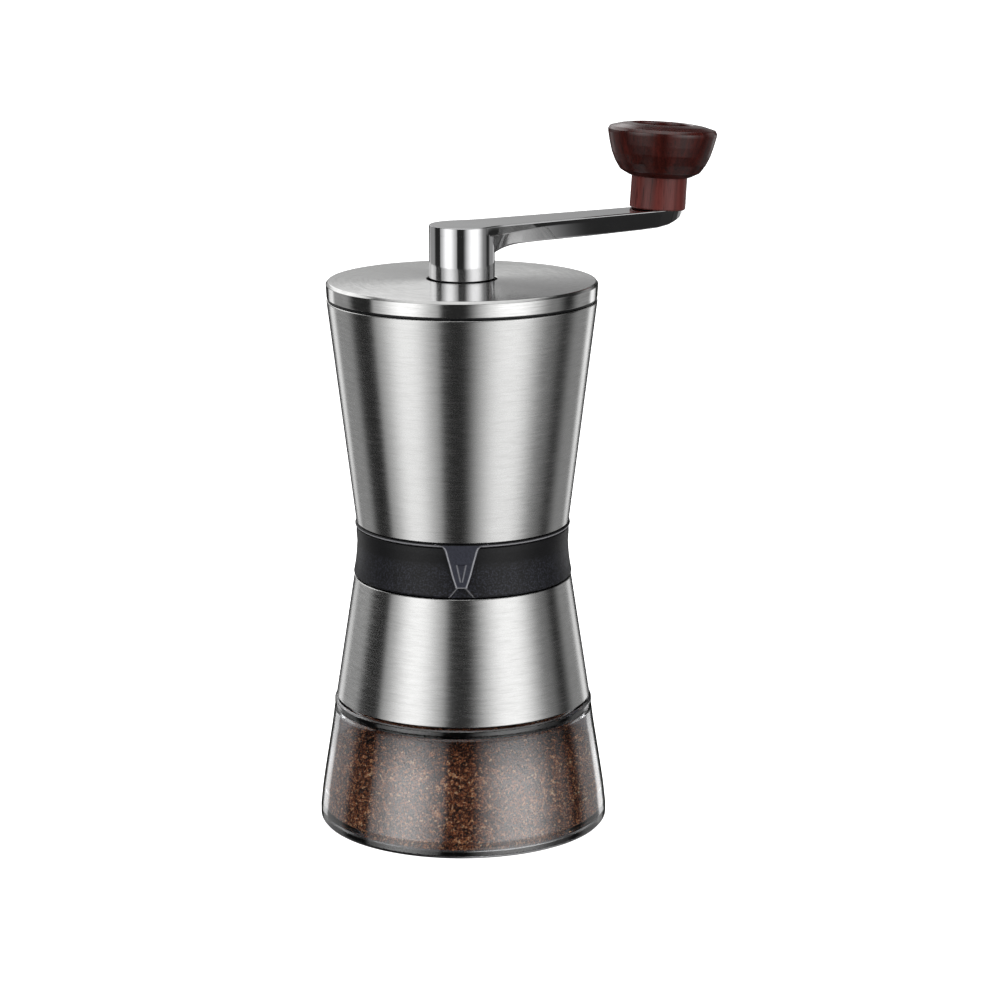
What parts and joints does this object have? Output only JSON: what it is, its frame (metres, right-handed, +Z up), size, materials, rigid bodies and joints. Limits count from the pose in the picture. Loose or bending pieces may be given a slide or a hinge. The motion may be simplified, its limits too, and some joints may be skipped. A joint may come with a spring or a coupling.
{
  "type": "hand crank coffee grinder",
  "caption": "Waisted steel hand mill with a lidded hopper, click ring and pointer at the waist, screw-on glass jar, and a cranked arm with a turned wooden knob.",
  "frame": {"origin": "centre of the jar's flat underside, on the body's axis", "axes": "+Z up the body's axis towards the lid; -Y out of the front, where the pointer is; +X to the right when facing the pointer"},
  "size_m": [0.111, 0.0901, 0.1905],
  "materials": {
    "brushed_steel": "brushed round the body",
    "polished_crank": "polished",
    "plated_steel": "plated",
    "bronze": "turned",
    "black_plastic": "fine texture",
    "silicone": "matte",
    "ceramic": null,
    "glass": "clear",
    "wood": "satin lacquer"
  },
  "bodies": {
    "housing": {"hopper_sleeve": "brushed_steel", "hopper_liner": "black_plastic", "waist_collar": "black_plastic", "body_core": "black_plastic", "bearing_bridge": "black_plastic", "upper_bush": "bronze", "lower_bush": "bronze", "bridge_screw_1": "plated_steel", "bridge_screw_2": "plated_steel", "bridge_screw_3": "plated_steel", "core_screw_1": "plated_steel", "core_screw_2": "plated_steel", "core_screw_3": "plated_steel", "skirt_sleeve": "brushed_steel", "skirt_liner": "black_plastic"},
    "lid": {"lid_shell": "brushed_steel", "lid_plug": "black_plastic"},
    "crank": {"crank_arm": "polished_crank", "drive_socket": "plated_steel", "crank_clip": "plated_steel", "knob_screw": "plated_steel", "knob_washer": "black_plastic"},
    "knob": {"knob": "wood", "knob_plug": "wood", "knob_bush": "bronze"},
    "drive": {"drive_shaft": "plated_steel", "inner_burr": "ceramic", "burr_spring": "plated_steel", "burr_washer": "plated_steel", "lock_nut": "plated_steel"},
    "click_ring": {"grind_ring": "black_plastic"},
    "burr_carrier": {"burr_carrier": "black_plastic", "outer_burr": "ceramic"},
    "jar_seal": {"jar_seal": "silicone"},
    "jar": {"jar": "glass"}
  },
  "joints": [
    {"name": "lid_lift", "type": "slide", "parent": "housing", "child": "lid", "axis": [0, 0, 1], "range_m": [0, 0.07]},
    {"name": "crank_turn", "type": "hinge", "parent": "lid", "child": "crank", "pos_m": [0, 0, 0.152], "axis": [0, 0, 1], "continuous": true},
    {"name": "knob_spin", "type": "hinge", "parent": "crank", "child": "knob", "pos_m": [0.05445, 0.03402, 0.1664], "axis": [0.0592, 0.037, 0.9976], "continuous": true},
    {"name": "shaft_turn", "type": "hinge", "parent": "housing", "child": "drive", "pos_m": [0, 0, 0.09], "axis": [0, 0, 1], "continuous": true},
    {"name": "ring_turn", "type": "hinge", "parent": "housing", "child": "click_ring", "pos_m": [0, 0, 0.0745], "axis": [0, 0, 1], "range_deg": [0, 75]},
    {"name": "burr_lift", "type": "slide", "parent": "housing", "child": "burr_carrier", "axis": [0, 0, 1], "range_m": [0, 0.00121]},
    {"name": "jar_drop", "type": "slide", "parent": "housing", "child": "jar_seal", "axis": [0, 0, -1], "range_m": [0, 0.0361]},
    {"name": "jar_turn", "type": "hinge", "parent": "jar_seal", "child": "jar", "pos_m": [0, 0, 0.04], "axis": [0, 0, -1], "range_deg": [0, 1080]}
  ],
  "couplings": [
    {"joint": "shaft_turn", "follows": "crank_turn", "ratio": 1},
    {"joint": "burr_lift", "follows": "ring_turn", "m_per_rad": 0.00091673},
    {"joint": "jar_drop", "follows": "jar_turn", "m_per_rad": 0.0019099}
  ]
}
